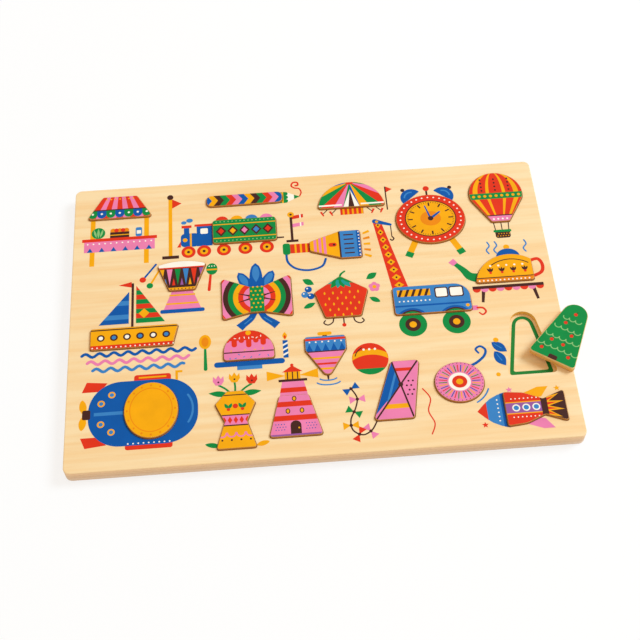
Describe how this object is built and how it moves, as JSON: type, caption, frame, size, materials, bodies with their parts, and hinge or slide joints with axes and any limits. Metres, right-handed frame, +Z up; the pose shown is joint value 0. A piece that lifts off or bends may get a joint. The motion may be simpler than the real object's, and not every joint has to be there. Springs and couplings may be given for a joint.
{
  "type": "shape puzzle",
  "caption": "Wooden lift-out shape puzzle: a layered board with windows that hold loose printed pieces, one of them shown lifted out.",
  "frame": {"origin": "centre of the board's flat underside", "axes": "+X along the board to its right edge, +Y from its front edge to its back edge, +Z up out of the printed face"},
  "size_m": [0.4611, 0.3, 0.0203],
  "materials": {
    "birch_base": "pale birch plywood with a satin water-based varnish, plies showing at the edge",
    "birch_sheet": "pale birch veneer with fine straight grain under a satin varnish, printed",
    "red_print": "plywood with a satin screen-printed top, red the main colour",
    "pink_print": "plywood with a satin screen-printed top, pink the main colour",
    "yellow_print": "plywood with a satin screen-printed top, warm yellow the main colour",
    "green_print": "plywood with a satin screen-printed top, green the main colour",
    "blue_print": "plywood with a satin screen-printed top, blue the main colour",
    "brown_print": "plywood with a satin screen-printed top, dark brown the main colour"
  },
  "bodies": {
    "board": {"base_board": "birch_base", "frame_board": "birch_sheet"},
    "awning": {"awning_piece": "red_print"},
    "pencil": {"pencil_piece": "pink_print"},
    "wagon": {"wagon_piece": "green_print"},
    "tent": {"tent_piece": "green_print"},
    "clock": {"clock_piece": "red_print"},
    "balloon": {"balloon_piece": "red_print"},
    "torch": {"torch_piece": "yellow_print"},
    "drum": {"drum_piece": "brown_print"},
    "boat": {"boat_piece": "yellow_print"},
    "bow": {"bow_piece": "pink_print"},
    "berry": {"berry_piece": "red_print"},
    "truck": {"truck_piece": "blue_print"},
    "teapot": {"teapot_piece": "yellow_print"},
    "tree": {"tree_piece": "green_print"},
    "cake": {"cake_piece": "pink_print"},
    "spinner": {"spinner_piece": "blue_print"},
    "porthole": {"porthole_piece": "yellow_print"},
    "vase": {"vase_piece": "yellow_print"},
    "lighthouse": {"lighthouse_piece": "pink_print"},
    "kite": {"kite_piece": "blue_print"},
    "yo_yo": {"yo_yo_piece": "pink_print"},
    "rocket": {"rocket_piece": "red_print"}
  },
  "joints": [
    {"name": "awning_lift", "type": "slide", "parent": "board", "child": "awning", "axis": [0, 0, 1], "range_m": [0, 0.03]},
    {"name": "pencil_lift", "type": "slide", "parent": "board", "child": "pencil", "axis": [0, 0, 1], "range_m": [0, 0.03]},
    {"name": "wagon_lift", "type": "slide", "parent": "board", "child": "wagon", "axis": [0, 0, 1], "range_m": [0, 0.03]},
    {"name": "tent_lift", "type": "slide", "parent": "board", "child": "tent", "axis": [0, 0, 1], "range_m": [0, 0.03]},
    {"name": "clock_lift", "type": "slide", "parent": "board", "child": "clock", "axis": [0, 0, 1], "range_m": [0, 0.03]},
    {"name": "balloon_lift", "type": "slide", "parent": "board", "child": "balloon", "axis": [0, 0, 1], "range_m": [0, 0.03]},
    {"name": "torch_lift", "type": "slide", "parent": "board", "child": "torch", "axis": [0, 0, 1], "range_m": [0, 0.03]},
    {"name": "drum_lift", "type": "slide", "parent": "board", "child": "drum", "axis": [0, 0, 1], "range_m": [0, 0.03]},
    {"name": "boat_lift", "type": "slide", "parent": "board", "child": "boat", "axis": [0, 0, 1], "range_m": [0, 0.03]},
    {"name": "bow_lift", "type": "slide", "parent": "board", "child": "bow", "axis": [0, 0, 1], "range_m": [0, 0.03]},
    {"name": "berry_lift", "type": "slide", "parent": "board", "child": "berry", "axis": [0, 0, 1], "range_m": [0, 0.03]},
    {"name": "truck_lift", "type": "slide", "parent": "board", "child": "truck", "axis": [0, 0, 1], "range_m": [0, 0.03]},
    {"name": "teapot_lift", "type": "slide", "parent": "board", "child": "teapot", "axis": [0, 0, 1], "range_m": [0, 0.03]},
    {"name": "tree_lift", "type": "slide", "parent": "board", "child": "tree", "axis": [0, 0, 1], "range_m": [0, 0.03]},
    {"name": "cake_lift", "type": "slide", "parent": "board", "child": "cake", "axis": [0, 0, 1], "range_m": [0, 0.03]},
    {"name": "spinner_lift", "type": "slide", "parent": "board", "child": "spinner", "axis": [0, 0, 1], "range_m": [0, 0.03]},
    {"name": "porthole_lift", "type": "slide", "parent": "board", "child": "porthole", "axis": [0, 0, 1], "range_m": [0, 0.03]},
    {"name": "vase_lift", "type": "slide", "parent": "board", "child": "vase", "axis": [0, 0, 1], "range_m": [0, 0.03]},
    {"name": "lighthouse_lift", "type": "slide", "parent": "board", "child": "lighthouse", "axis": [0, 0, 1], "range_m": [0, 0.03]},
    {"name": "kite_lift", "type": "slide", "parent": "board", "child": "kite", "axis": [0, 0, 1], "range_m": [0, 0.03]},
    {"name": "yo_yo_lift", "type": "slide", "parent": "board", "child": "yo_yo", "axis": [0, 0, 1], "range_m": [0, 0.03]},
    {"name": "rocket_lift", "type": "slide", "parent": "board", "child": "rocket", "axis": [0, 0, 1], "range_m": [0, 0.03]}
  ]
}
